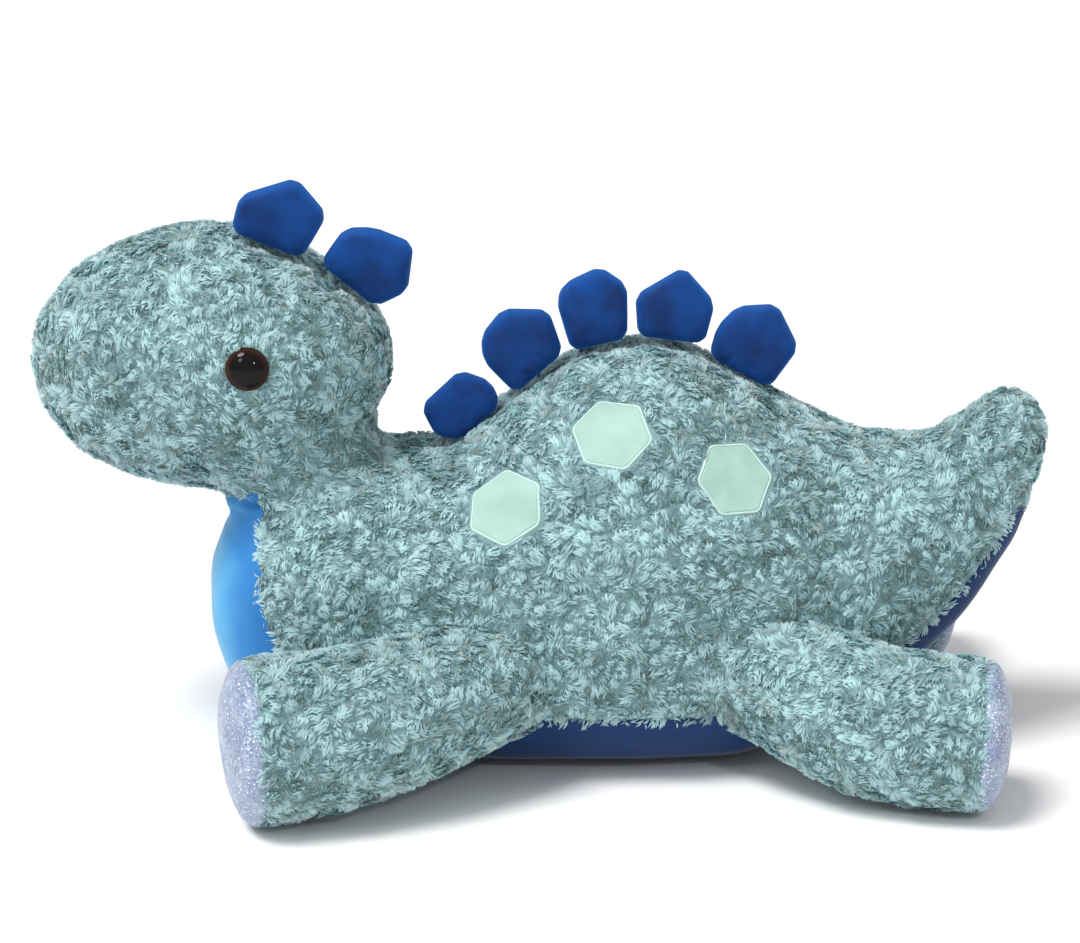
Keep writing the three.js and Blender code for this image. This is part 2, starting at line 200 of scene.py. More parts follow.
def depths(tree, points):
    """How far each point lies inside a closed surface; negative outside."""
    deep = np.empty(len(points))
    for k, point in enumerate(points):
        place, normal, _, distance = tree.find_nearest(Vector(point))
        deep[k] = distance if (place - Vector(point)).dot(normal) > 0 else -distance
    return deep


def point_values(mesh, name, values):
    """A number for each point, which a material can read by that name."""
    attribute = mesh.attributes.new(name, "FLOAT", "POINT")
    attribute.data.foreach_set("value", np.asarray(values, np.float32))


def turns(steps):
    """Angles once round."""
    return np.arange(steps) / steps * 2 * math.pi


def disc_faces(rings, steps):
    """Triangles round a middle point, then rings of quads."""
    faces = [(0, 1 + k, 1 + (k + 1) % steps) for k in range(steps)]
    for first in range(1, 1 + (rings - 1) * steps, steps):
        outer = first + steps
        for k in range(steps):
            after = (k + 1) % steps
            faces.append((first + k, outer + k, outer + after, first + after))
    return faces


# ---------- Skins: smooth closed surfaces round the CAD shells ----------

SKIN_VOXEL = 6 * MM
BRIDGE = 13 * MM  # closes the wedges that the CAD shells leave at the neck and the tail
TRUNK_SMOOTHING = 16
TRUNK_LOSS = 1.2 * MM  # what the smoothing takes off
LEG_SMOOTHING = 8
LEG_LOSS = 1.0 * MM
TUCK = 55 * MM  # how far a leg's sewn end runs on into the flank
TUCK_REACH = 34 * MM  # the part of the leg this near the flank is moved
TUCK_FACING = 0.35  # and only where it faces the flank this much
TUCK_TOWARDS = 0.2
TUCK_SIDEWAYS = 0.6  # how far the run-on turns towards the middle of the body


def closed_skin(names):
    """One skin round some CAD nodes, with the narrow gaps between them bridged."""
    skin = remesh(joined(names), SKIN_VOXEL)
    offset(skin, BRIDGE)
    remesh(skin, SKIN_VOXEL)
    offset(skin, -BRIDGE)
    remesh(skin, SKIN_VOXEL)
    smooth(skin, TRUNK_SMOOTHING)
    return offset(skin, TRUNK_LOSS)


TRUNK_FUR = [f"{part}_fur_{side}" for part in CAD_PARTS.values() for side in SIDES]
TRUNK_VELVET = ["belly_panel", "tail_underside"]
FILLINGS = [f"{part}_stuffing" for part in CAD_PARTS.values()]
SET_IN = [f"spot_{label}" for label in SPOTS] + [f"eye_{side}" for side in SIDES]
trunk = closed_skin(TRUNK_FUR + TRUNK_VELVET + FILLINGS + SET_IN)
trunk_tree = tree_of(trunk)


def leg_skin(leg):
    """A leg whose sewn end is carried on into the flank, so that it stays covered as the leg swings."""
    skin = remesh(joined([f"{leg}_leg_fur", f"{leg}_foot_pad", f"{leg}_leg_stuffing"]), SKIN_VOXEL)
    hip = Vector(joints[f"{leg}_leg_splay"]["pos_m"])
    foot = sum(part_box(f"{leg}_foot_pad"), Vector()) / 2
    inward = Vector((hip.x - foot.x, hip.y - foot.y, 0)).normalized()
    inward = (inward + Vector((0, -math.copysign(TUCK_SIDEWAYS, hip.y), 0))).normalized()
    co = coords(skin.data)
    normals = vertex_normals(skin.data)
    for k, point in enumerate(co):
        near, _, _, distance = trunk_tree.find_nearest(Vector(point))
        towards = (near - Vector(point)).normalized()
        facing = Vector(normals[k]).dot(inward) > TUCK_FACING and abs(towards.dot(inward)) > TUCK_TOWARDS
        if distance < TUCK_REACH and facing:
            co[k] += np.array(inward) * TUCK
    set_coords(skin.data, co)
    remesh(skin, SKIN_VOXEL)
    smooth(skin, LEG_SMOOTHING)
    return offset(skin, LEG_LOSS)


leg_skins = {leg: leg_skin(leg) for leg in LEGS}


# ---------- Regions of the trunk, and how each bends ----------

NECK = np.array(joints["head_nod"]["pos_m"])
TAIL = np.array(joints["tail_wag"]["pos_m"])
TAIL_HALF = 45 * MM
FRONT_HALF = 20 * MM
FRONT_LEAN = math.radians(14)
BACK_LEAN = math.radians(35)
BACK_HALF = FRONT_HALF * math.cos(BACK_LEAN) / math.cos(FRONT_LEAN)  # the two bends meet at the pivot


def leaning(angle):
    return np.array([-math.sin(angle), 0, math.cos(angle)])


def bend(body, pivot, half):
    """A bend from the torso to another body, that far before and after a pivot."""
    return ("torso", body, pivot - half, pivot + half)


# Each region's two bodies, and where the bend between them starts and ends; or its one body.
REGIONS = {
    "torso": ("torso",),
    "neck_front": bend("head", NECK, leaning(FRONT_LEAN) * FRONT_HALF),
    "neck_back": bend("head", NECK, leaning(BACK_LEAN) * BACK_HALF),
    "head": ("head",),
    "tail_root": bend("tail", TAIL, np.array([TAIL_HALF, 0, 0])),
    "tail": ("tail",),
}


def regions_of(points):
    """The region each point lies in."""
    names = np.full(len(points), "torso", dtype=object)
    ahead = points[:, 0] < NECK[0]
    for name, lean, half, here in (
        ("neck_front", FRONT_LEAN, FRONT_HALF, ahead),
        ("neck_back", BACK_LEAN, BACK_HALF, ~ahead),
    ):
        height = (points - NECK) @ leaning(lean)
        names[here & (height > -half)] = name
        names[here & (height >= half)] = "head"
    behind = points[:, 0] - TAIL[0]
    names[behind > -TAIL_HALF] = "tail_root"
    names[behind >= TAIL_HALF] = "tail"
    return names


def hold(obj, region):
    """Fixes a finished piece to the body of its region; a piece in a bend between two bodies only has its
    transform baked in.
    """
    if len(REGIONS[region]) == 1:
        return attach(obj, REGIONS[region][0])
    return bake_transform(obj)


# ---------- Numbers over a surface ----------


def noise_at(points, size, shift=0.0):
    """Smooth noise from -1 to 1, with features of that size."""
    scaled = np.asarray(points) / size + shift
    return np.array([noise.noise(Vector(p)) for p in scaled])


def ramp(values, low, high):
    """0 below low, 1 above high, and a smooth step between."""
    t = np.clip((values - low) / (high - low), 0, 1)
    return t * t * (3 - 2 * t)


def unit(vectors):
    return vectors / np.maximum(np.linalg.norm(vectors, axis=-1, keepdims=True), 1e-12)


def along_surface(vectors, normals):
    return vectors - normals * np.sum(vectors * normals, axis=1, keepdims=True)


def scatter(skin, area_each):
    """Points spread evenly over a mesh, with their outward normals."""
    mesh = skin.data
    mesh.calc_loop_triangles()
    corners = np.empty(len(mesh.loop_triangles) * 3, np.int32)
    mesh.loop_triangles.foreach_get("vertices", corners)
    a, b, c = corners.reshape(-1, 3).T
    co = coords(mesh)
    normals = vertex_normals(mesh)
    total = np.cumsum(np.linalg.norm(np.cross(co[b] - co[a], co[c] - co[a]), axis=1) / 2)
    count = int(total[-1] / area_each)
    picks = np.searchsorted(total, (np.arange(count) + rng.random(count)) / count * total[-1])
    picks = np.minimum(picks, len(total) - 1)
    u, v = rng.random((2, count))
    outside = u + v > 1
    u[outside] = 1 - u[outside]
    v[outside] = 1 - v[outside]
    shares = ((1 - u - v, a), (u, b), (v, c))
    places = sum(share[:, None] * co[corner[picks]] for share, corner in shares)
    return places, unit(sum(share[:, None] * normals[corner[picks]] for share, corner in shares))


# ---------- Spots and eyes: where they sit, so that the fur leaves room ----------

CORNER_ROUNDING = 0.965  # how much of a spot's corner radius is left
SPOT_DEPTH = 40 * MM
EYE_DEPTH = 30 * MM


class Patch:
    """A hexagonal spot's place: its centre, its plane, its size and the direction of a corner."""

    def __init__(self, node):
        co = coords(nodes[node].data)
        self.centre = (co.max(0) + co.min(0)) / 2
        self.normal = unit(np.array(trunk_tree.find_nearest(Vector(self.centre))[1]))
        self.u = unit(np.cross([0, 0, 1.0], self.normal))
        self.v = np.cross(self.normal, self.u)
        flat = self.flat(co)
        middle = (flat.max(0) + flat.min(0)) / 2
        self.centre = self.centre + middle[0] * self.u + middle[1] * self.v
        flat = flat - middle
        reach = np.hypot(*flat.T)
        angles = np.arctan2(flat[:, 1], flat[:, 0])
        self.turn = np.angle(np.sum(reach**12 * np.exp(6j * angles))) / 6
        self.radius = reach.max()

    def flat(self, points):
        away = points - self.centre
        return np.stack([away @ self.u, away @ self.v], axis=1)

    def edge(self, angles):
        """How far the rounded hexagon reaches in each direction."""
        step = math.pi / 3
        within = np.mod(angles - self.turn, step) - step / 2
        straight = self.radius * math.cos(step / 2) / np.cos(within)
        return np.minimum(straight, self.radius * CORNER_ROUNDING)

    def holds(self, points, margin):
        """True for points over the spot, or within that margin of its edge."""
        flat = self.flat(points)
        near = np.abs((points - self.centre) @ self.normal) < SPOT_DEPTH
        return near & (np.hypot(*flat.T) < self.edge(np.arctan2(flat[:, 1], flat[:, 0])) + margin)


class Eye:
    """A safety eye's place: the top of its dome, the way it looks and its radius."""

    def __init__(self, side):
        co = coords(nodes[f"eye_{side}"].data)
        middle = coords(nodes[f"eye_washer_{side}"].data).mean(0)
        self.axis = unit(co.mean(0) - middle)
        along = (co - middle) @ self.axis
        spread = np.linalg.norm(co - middle - along[:, None] * self.axis, axis=1)
        self.radius = spread.max()
        self.top = middle + self.axis * along.max()

    def holds(self, points, margin):
        away = points - self.top
        along = away @ self.axis
        beside = np.linalg.norm(away - along[:, None] * self.axis, axis=1)
        return (beside < self.radius + margin) & (np.abs(along) < EYE_DEPTH)


spots = {label: Patch(f"spot_{label}") for label in SPOTS}
eyes = {side: Eye(side) for side in SIDES}
plates_tree = tree_of_nodes([f"{plate}_cover" for plate in PLATES])


# ---------- Materials ----------

PILE = (  # a strand's colour, from root to tip
    (0.0, (0.100, 0.190, 0.205)),
    (0.2, (0.250, 0.410, 0.430)),
    (0.6, (0.360, 0.555, 0.580)),
    (1.0, (0.425, 0.640, 0.665)),
)
# a strand's colour multiplier by its u; the dark low end holds the painted shade at tuft outlines and
# partings
STRAND_SHADES = ((0.0, (0.300, 0.360, 0.370)), (0.5, (1.0, 1.0, 1.0)), (1.0, (1.30, 1.26, 1.25)))
CHEST_FRONT = -0.305  # x of the foremost cloth, where the velvet's painted sheen is palest
# x from which the painted shade under the belly is deepest, and how far the painted sheen and shade wander
SHADE_DEEPEST_X = -0.10
SHEEN_SHADE_WANDER = 0.02
BELLY_SHEEN_TO_SHADE = (  # the velvet's blue from the chest backwards: pale with painted sheen in front, navy with painted shade under the belly
    (0.0, (0.250, 0.600, 0.860)),
    (0.09, (0.105, 0.400, 0.700)),
    (0.22, (0.032, 0.210, 0.540)),
    (0.5, (0.012, 0.070, 0.250)),
    (1.0, (0.008, 0.034, 0.120)),
)
PUPIL = (0.006, 0.005, 0.005)
IRIS = (  # an eye's colour, from its middle to its rim
    (0.0, PUPIL),
    (0.74, PUPIL),
    (0.82, (0.016, 0.007, 0.005)),
    (0.95, (0.045, 0.015, 0.008)),
    (1.0, (0.008, 0.005, 0.005)),
)


class Shader:
    """A material whose nodes are added one by one; links are given as sockets."""

    def __init__(
        self, name, roughness, sheen=0.0, tint=(1, 1, 1), sheen_roughness=0.5, specular=0.5, coat=0.0
    ):
        self.material = bpy.data.materials.new(name)
        self.material.use_nodes = True
        self.tree = self.material.node_tree
        self.bsdf = self.tree.nodes["Principled BSDF"]
        settings = {
            "Roughness": roughness,
            "Sheen Weight": sheen,
            "Sheen Roughness": sheen_roughness,
            "Sheen Tint": (*tint, 1),
            "Specular IOR Level": specular,
            "Coat Weight": coat,
        }
        for socket, value in settings.items():
            self.bsdf.inputs[socket].default_value = value

    def add(self, kind, inputs=None, **settings):
        node = self.tree.nodes.new(kind)
        for key, value in settings.items():
            setattr(node, key, value)
        for key, value in (inputs or {}).items():
            if isinstance(value, bpy.types.NodeSocket):
                self.tree.links.new(value, node.inputs[key])
            else:
                node.inputs[key].default_value = value
        return node

    def place(self):
        return self.add("ShaderNodeTexCoord").outputs["Object"]

    def noise(self, size, detail=2.0, roughness=0.5):
        inputs = {"Vector": self.place(), "Scale": 1 / size, "Detail": detail, "Roughness": roughness}
        return self.add("ShaderNodeTexNoise", inputs).outputs["Fac"]

    def math(self, operation, a, b):
        return self.add("ShaderNodeMath", {0: a, 1: b}, operation=operation).outputs[0]

    def stretch(self, value, low, high, to_low=0.0, to_high=1.0):
        inputs = {"Value": value, "From Min": low, "From Max": high, "To Min": to_low, "To Max": to_high}
        return self.add("ShaderNodeMapRange", inputs).outputs["Result"]

    def mix(self, share, a, b, blend="MIX"):
        a, b = (c if isinstance(c, bpy.types.NodeSocket) else (*c, 1) for c in (a, b))
        inputs = {0: share, 6: a, 7: b}
        return self.add("ShaderNodeMix", inputs, data_type="RGBA", blend_type=blend).outputs[2]

    def ramp(self, value, stops):
        node = self.add("ShaderNodeValToRGB", {"Fac": value})
        elements = node.color_ramp.elements
        while len(elements) < len(stops):
            elements.new(0.5)
        for element, (position, colour) in zip(elements, stops):
            element.position = position
            element.color = (*colour, 1)
        return node.outputs["Color"]

    def colour(self, socket):
        self.tree.links.new(socket, self.bsdf.inputs["Base Color"])

    def rough(self, socket):
        self.tree.links.new(socket, self.bsdf.inputs["Roughness"])

    def bump(self, height, strength, distance):
        node = self.add("ShaderNodeBump", {"Height": height, "Strength": strength, "Distance": distance})
        self.tree.links.new(node.outputs["Normal"], self.bsdf.inputs["Normal"])


def fur_material():
    """Pile that light comes through. In a strand's map, v runs from root to tip and u is its shade: its own
    tone, lowered by painted shade at tuft outlines and partings.
    """
    tint = (0.85, 0.97, 1.0)
    shader = Shader("fur", roughness=0.8, sheen=0.6, tint=tint, sheen_roughness=0.5, specular=0.25)
    along = shader.add("ShaderNodeUVMap", uv_map="OFBake").outputs["UV"]
    axes = shader.add("ShaderNodeSeparateXYZ", {"Vector": along})
    pile = shader.ramp(axes.outputs["Y"], PILE)
    shade = shader.ramp(axes.outputs["X"], STRAND_SHADES)
    colour = shader.mix(1.0, pile, shade, "MULTIPLY")
    shader.colour(colour)
    lit_through = shader.add("ShaderNodeBsdfTranslucent", {"Color": colour}).outputs["BSDF"]
    behind = shader.add("ShaderNodeNewGeometry").outputs["Backfacing"]
    both = shader.add("ShaderNodeMixShader", {0: behind, 1: shader.bsdf.outputs["BSDF"], 2: lit_through})
    surface = shader.tree.nodes["Material Output"].inputs["Surface"]
    shader.tree.links.new(both.outputs["Shader"], surface)
    return shader.material


def velvet_material(name, deep, light, rim_colour, sheen, tint):
    """Short pile: cloudy stroked patches, fine fibre grain, a soft sheen, a paler rim (a painted sheen on the
    plates).
    """
    shader = Shader(name, roughness=0.75, sheen=sheen, tint=tint, sheen_roughness=0.35, specular=0.2)
    cloudy = shader.stretch(shader.noise(34 * MM, 3.0), 0.3, 0.7)
    fibres = shader.noise(0.77 * MM, 3.0, 0.7)
    share = shader.math("ADD", shader.math("MULTIPLY", cloudy, 0.55), shader.math("MULTIPLY", fibres, 0.45))
    colour = shader.mix(shader.stretch(share, 0.2, 0.8), deep, light)
    rim = shader.add("ShaderNodeAttribute", attribute_name="rim").outputs["Fac"]
    shader.colour(shader.mix(rim, colour, rim_colour))
    shader.rough(shader.stretch(cloudy, 0.0, 1.0, 0.67, 0.83))
    shader.bump(fibres, 0.35, 0.6 * MM)
    return shader.material


def glitter_material():
    """Cloth covered with fine glitter: small flakes, each with its own brightness and gloss, a few painted
    near white as glints.
    """
    shader = Shader("glitter_cloth", roughness=0.5, sheen=0.1, specular=0.6)
    flakes = shader.add("ShaderNodeTexVoronoi", {"Vector": shader.place(), "Scale": 1 / (1.3 * MM)})
    lot = shader.add("ShaderNodeSeparateColor", {"Color": flakes.outputs["Color"]})
    cloudy = shader.noise(22 * MM, 3.0)
    base = shader.mix(shader.stretch(cloudy, 0.3, 0.7), (0.200, 0.250, 0.385), (0.345, 0.410, 0.535))
    dull = shader.mix(lot.outputs["Green"], (0.55, 0.60, 0.70), (1.35, 1.35, 1.30))
    colour = shader.mix(1.0, base, dull, "MULTIPLY")
    # a few flakes painted near white: painted glints
    painted_glints = shader.stretch(lot.outputs["Red"], 0.93, 0.96)
    shader.colour(shader.mix(painted_glints, colour, (0.80, 0.84, 0.95)))
    shader.rough(shader.stretch(lot.outputs["Blue"], 0.0, 1.0, 0.25, 0.65))
    shader.bump(lot.outputs["Blue"], 0.6, 0.4 * MM)
    return shader.material


def belly_material():
    """Stretch blue velvet, painted pale azure at the chest as a sheen and painted navy further back as shade
    under the belly.
    """
    tint = (0.85, 0.93, 1.0)
    shader = Shader("belly_velvet", roughness=0.7, sheen=0.45, tint=tint, sheen_roughness=0.25, specular=0.2)
    axes = shader.add("ShaderNodeSeparateXYZ", {"Vector": shader.place()})
    wander = shader.stretch(shader.noise(60 * MM, 2.0), 0.0, 1.0, -SHEEN_SHADE_WANDER, SHEEN_SHADE_WANDER)
    back = shader.stretch(shader.math("ADD", axes.outputs["X"], wander), CHEST_FRONT, SHADE_DEEPEST_X)
    # painted sheen at the chest front, darkening to painted shade along the belly
    painted_sheen_and_shade = shader.ramp(back, BELLY_SHEEN_TO_SHADE)
    fibres = shader.noise(1.0 * MM, 3.0, 0.7)
    fleck = shader.mix(shader.stretch(fibres, 0.3, 0.7), (0.86, 0.90, 0.95), (1.14, 1.10, 1.05))
    shader.colour(shader.mix(1.0, painted_sheen_and_shade, fleck, "MULTIPLY"))
    shader.bump(fibres, 0.3, 0.5 * MM)
    return shader.material


def eye_material():
    """Moulded plastic: black pupil, dark amber iris towards the rim, under a clear glossy coat."""
    shader = Shader("eye_plastic", roughness=0.2, specular=0.0, coat=0.32)
    shader.bsdf.inputs["Coat Roughness"].default_value = 0.03
    outward = shader.add("ShaderNodeAttribute", attribute_name="outward").outputs["Fac"]
    fleck = shader.stretch(shader.noise(1.6 * MM, 3.0), 0.3, 0.7, -0.03, 0.03)
    shader.colour(shader.ramp(shader.math("ADD", outward, fleck), IRIS))
    return shader.material


def washer_material():
    """Moulded nylon with a faint texture and slightly uneven whiteness."""
    shader = Shader("washer_plastic", roughness=0.4, specular=0.5)
    cloudy = shader.noise(4 * MM, 3.0)
    shader.colour(shader.mix(cloudy, (0.62, 0.62, 0.60), (0.78, 0.78, 0.75)))
    shader.bump(shader.noise(0.6 * MM, 2.0), 0.2, 0.1 * MM)
    return shader.material


def filling_material():
    """Loose polyester fibre: off-white, with soft clumps and stray fibres."""
    shader = Shader("fibre_fill", roughness=0.9, sheen=0.4, specular=0.2)
    clumps = shader.noise(9 * MM, 4.0, 0.6)
    fibres = shader.noise(0.9 * MM, 3.0, 0.8)
    both = shader.math("ADD", shader.math("MULTIPLY", clumps, 0.6), shader.math("MULTIPLY", fibres, 0.4))
    shader.colour(shader.ramp(both, ((0.3, (0.52, 0.53, 0.54)), (0.6, (0.84, 0.84, 0.83)))))
    shader.bump(both, 0.8, 1.5 * MM)
    return shader.material


FUR = fur_material()
PLATE_VELVET = velvet_material(
    "plate_velvet",
    deep=(0.002, 0.019, 0.100),
    light=(0.004, 0.058, 0.270),
    # the plates' paler rim is a painted sheen where the pillow rounds over
    rim_colour=(0.008, 0.092, 0.390),
    sheen=0.45,
    tint=(0.05, 0.38, 1.0),
)
MINT_VELVET = velvet_material(
    "mint_velvet",
    deep=(0.310, 0.490, 0.430),
    light=(0.395, 0.595, 0.535),
    rim_colour=(0.620, 0.780, 0.740),
    sheen=0.3,
    tint=(0.9, 1.0, 0.98),
)
BELLY_VELVET = belly_material()
GLITTER = glitter_material()
EYE_PLASTIC = eye_material()
WASHER = washer_material()
FILLING = filling_material()


def finish_piece(obj, material, replaced):
    """Gives a piece its material and slot, and hides the CAD nodes it stands for."""
    obj.data.materials.clear()
    obj.data.materials.append(material)
    obj.data.shade_smooth()
    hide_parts(*replaced)
    return obj


# ---------- Fur ----------

ROWS = np.array([0.0, 0.55, 1.0])  # where a strand's cross rows lie along it; the last is its tip
WIDTHS = np.array([0.8, 1.0])  # its width at the first two rows, as a share
STRAND_FACES = ((0, 1, 3, 2), (2, 3, 4))
STRAND_POINTS = 5
ACROSS = 0.008  # how far a strand's two edges differ in the colour map
STRAND_ROUND = 0.22  # how far a strand's two edges face apart
ROOT_SINK = 0.8 * MM  # how far a root is set into the backing
ROOT_SHADE = 0.12  # the backing's place in the strands' colours
TUFT_WOBBLE = 5.5 * MM  # how far the tufts' outlines wander
TUFT_ROUNDING = 2.1 * MM  # how far in from its outline a tuft rounds off
TUFT_TURN = 0.9  # how far the pile faces outward at a tuft's outline
PARTING_SIZE = 30 * MM
PARTING_SHARPNESS = 0.11
PARTING_DEPTH = 1.5 * MM  # how far the backing sinks under a parting
EDGE_PAINTED_SHADE = 0.42  # how much painted shade darkens the pile at a tuft's outline
# how much painted shade darkens the pile along the partings
PARTING_PAINTED_SHADE = 0.62

# How close the fur comes to its neighbours.
BACKING_LAP = 3 * MM  # the backing runs on this far under the velvet
PILE_GAP = 1 * MM
ROOT_CLEAR = 0.5 * MM  # roots keep off the spots and eyes by this
SPOT_OVERHANG = 1.5 * MM  # tips may lean this far over a spot
EYE_OVERHANG = 2.0 * MM
PLATE_CLEAR = 3.5 * MM
BURIED = 25 * MM  # fur this deep inside a neighbour is left out

# The lowest that each layer lies over the floor.
STRAND_FLOOR = 0.4 * MM
BACKING_FLOOR = 0.3 * MM
SHEET_FLOOR = 0.2 * MM


def partings(points):
    """1 along the deeper, broken partings, 0 elsewhere."""
    far = np.abs(noise_at(points, PARTING_SIZE, 7.3) + 0.4 * noise_at(points, PARTING_SIZE * 0.4, 3.1))
    broken = ramp(noise_at(points, 45 * MM, 21.0), -0.25, 0.15)
    return np.clip(1 - far / PARTING_SHARPNESS, 0, 1) * broken


def shades(points):
    """The cloth's own slow change of shade."""
    return 0.5 + 0.20 * noise_at(points, 62 * MM, 1.7) + 0.24 * noise_at(points, 19 * MM, 5.7)


def slope(points, size, shift):
    """The direction in which smooth noise rises."""
    step = 0.2 * size
    at = noise_at(points, size, shift)
    return np.stack([noise_at(points + np.eye(3)[k] * step, size, shift) - at for k in range(3)], axis=1)


def swirl_at(places, normals):
    """Two directions along the cloth: the way the swirls' noise rises, and across it."""
    rise = unit(along_surface(slope(places, SWIRL, 11.0), normals))
    return rise, np.cross(normals, rise)


def tufts(skin):
    """Centres of the tufts, with each one's lean, height and shade."""
    places, normals = scatter(skin, TUFT_AREA)
    rise, swirl = swirl_at(places, normals)
    lean = 0.9 * swirl + 0.3 * rise + 0.28 * rng.normal(size=places.shape)
    lean = unit(along_surface(lean, normals))
    height = rng.uniform(0.68, 1.02, len(places)) + 0.16 * noise_at(places, 34 * MM, 13.0)
    shade = rng.normal(0, 0.10, len(places))
    return places, lean, height, shade


def nearest_tufts(places, centres):
    """Each point's own tuft, and its distance from the tuft's outline."""
    finder = KDTree(len(centres))
    for k, centre in enumerate(centres):
        finder.insert(centre, k)
    finder.balance()
    wobble = np.stack([noise_at(places, 11 * MM, shift) for shift in (31.0, 47.0, 59.0)], axis=1)
    found = [finder.find_n(Vector(p), 2) for p in places + TUFT_WOBBLE * wobble]
    own = np.array([pair[0][1] for pair in found])
    inside = np.array([pair[1][2] - pair[0][2] for pair in found]) / 2
    return own, inside


def leans(places, normals, tuft_lean, fringe_tree):
    """The way each strand leans, and how far it belongs to the fringe that hangs over other cloth."""
    _, swirl = swirl_at(places, normals)
    lean = 0.55 * tuft_lean + 0.45 * swirl + 0.22 * rng.normal(size=places.shape)
    lean = unit(along_surface(lean, normals))
    near = [fringe_tree.find_nearest(Vector(p), UNDER_VELVET) for p in places]
    pull = np.array([np.array(n[0]) - p if n[0] else np.zeros(3) for n, p in zip(near, places)])
    gap = np.linalg.norm(pull, axis=1, keepdims=True)
    fringe = (1 - ramp(gap, 2 * MM, 12 * MM)) * (gap > 0)
    return unit(lean + 1.1 * unit(along_surface(pull, normals)) * fringe), fringe


def bent(root, middle, tip):
    """Points along a curve for each strand, at the cross rows."""
    t = ROWS[None, :, None]
    return (1 - t) ** 2 * root[:, None] + 2 * t * (1 - t) * middle[:, None] + t**2 * tip[:, None]


def strands(skin, fringe_tree):
    """Each strand of a skin's fur: its place, its curve, its sideways direction, its shade and its facing."""
    places, normals = scatter(skin, STRAND_AREA)
    centres, tuft_lean, tuft_height, tuft_shade = tufts(skin)
    own, inside = nearest_tufts(places, centres)
    count = len(places)
    edge = (1 - ramp(inside, 0.0, TUFT_ROUNDING))[:, None]
    parting = partings(places)[:, None]
    lean, fringe = leans(places, normals, tuft_lean[own], fringe_tree)
    length = STRAND_LENGTH * rng.uniform(0.75, 1.2, (count, 1)) * (1 - 0.55 * edge) * (1 - 0.5 * parting)
    height = STRAND_HEIGHT * tuft_height[own][:, None] * rng.uniform(0.92, 1.05, (count, 1))
    height = height * (1 - 0.6 * edge) * (1 - 0.7 * parting)
    inward = along_surface(centres[own] - places, normals)
    outward = np.sum(lean * -unit(inward), axis=1, keepdims=True)
    room = (inside[:, None] + 1.0 * MM + 8 * MM * fringe) / np.maximum(outward, 0.12)
    reach = np.minimum(length * 0.78, room)
    root = places - normals * (FUR_BASE + ROOT_SINK)
    middle = root + normals * height * 0.92 + lean * reach * 0.42
    tip = root + lean * reach + normals * height * 0.9
    roll = rng.normal(0, 0.2, (count, 1))
    sideways = unit(np.cross(tip - root, normals))
    sideways = unit(sideways * np.cos(roll) + normals * np.sin(roll))
    # random tone, less painted shade at tuft outlines and along the partings
    shade = shades(places) + tuft_shade[own] - EDGE_PAINTED_SHADE * edge[:, 0] - PARTING_PAINTED_SHADE * parting[:, 0]
    shade = np.clip(shade + rng.normal(0, 0.045, count), 0.02, 0.98)
    facing = unit(normals - unit(inward) * TUFT_TURN * (edge + 0.25) + 0.25 * lean)
    return places, bent(root, middle, tip), sideways, shade, facing


def build(name, verts, corners, starts, uv, normals):
    """A mesh object from arrays: points, corners, face starts, a map value per corner, point normals."""
    mesh = bpy.data.meshes.new(name)
    mesh.vertices.add(len(verts))
    mesh.vertices.foreach_set("co", np.asarray(verts, np.float32).ravel())
    mesh.loops.add(len(corners))
    mesh.loops.foreach_set("vertex_index", np.asarray(corners, np.int32))
    mesh.polygons.add(len(starts))
    mesh.polygons.foreach_set("loop_start", np.asarray(starts, np.int32))
    layer = mesh.uv_layers.new(name="OFBake")
    layer.data.foreach_set("uv", np.asarray(uv, np.float32).ravel())
    facing = mesh.attributes.new("custom_normal", "FLOAT_VECTOR", "POINT")
    facing.data.foreach_set("vector", np.asarray(normals, np.float32).ravel())
    mesh.update(calc_edges=True)
    return link(name, mesh)


def strand_arrays(curve, sideways, shade, facing):
    """Points, corners, face starts, map values and shading normals of ribbons along the curves."""
    count = len(curve)
    half = (STRAND_WIDTH / 2 * WIDTHS)[None, :, None] * sideways[:, None, :]
    verts = np.empty((count, STRAND_POINTS, 3))
    verts[:, 0:4:2] = curve[:, :2] - half
    verts[:, 1:4:2] = curve[:, :2] + half
    verts[:, 4] = curve[:, 2]
    verts[:, :, 2] = np.maximum(verts[:, :, 2], STRAND_FLOOR)
    pattern = np.concatenate([np.array(face) for face in STRAND_FACES])
    corners = (np.arange(count)[:, None] * STRAND_POINTS + pattern[None]).ravel()
    starts = (np.arange(count)[:, None] * len(pattern) + np.array([0, len(STRAND_FACES[0])])[None]).ravel()
    offsets = np.array([-1, 1, -1, 1, 0]) * ACROSS
    heights = np.append(np.repeat(ROWS[:2], 2), 1.0)
    uv = np.stack([shade[:, None] + offsets[None], np.broadcast_to(heights, (count, STRAND_POINTS))], axis=2)
    turned = np.repeat(facing[:, None, :], STRAND_POINTS, axis=1)
    turned[:, 0:4:2] -= STRAND_ROUND * sideways[:, None, :]
    turned[:, 1:4:2] += STRAND_ROUND * sideways[:, None, :]
    return verts.reshape(-1, 3), corners, starts, uv[:, pattern].reshape(-1, 2), unit(turned.reshape(-1, 3))


def fur_base(skin):
    """The backing under the pile: the sunk, creased skin, its quads, and each point's shade and normal."""
    co = coords(skin.data)
    normals = vertex_normals(skin.data)
    sunk = co - normals * (FUR_BASE + PARTING_DEPTH * partings(co))[:, None]
    sunk[:, 2] = np.maximum(sunk[:, 2], BACKING_FLOOR)
    return sunk, np.array([tuple(p.vertices) for p in skin.data.polygons]), shades(co), normals


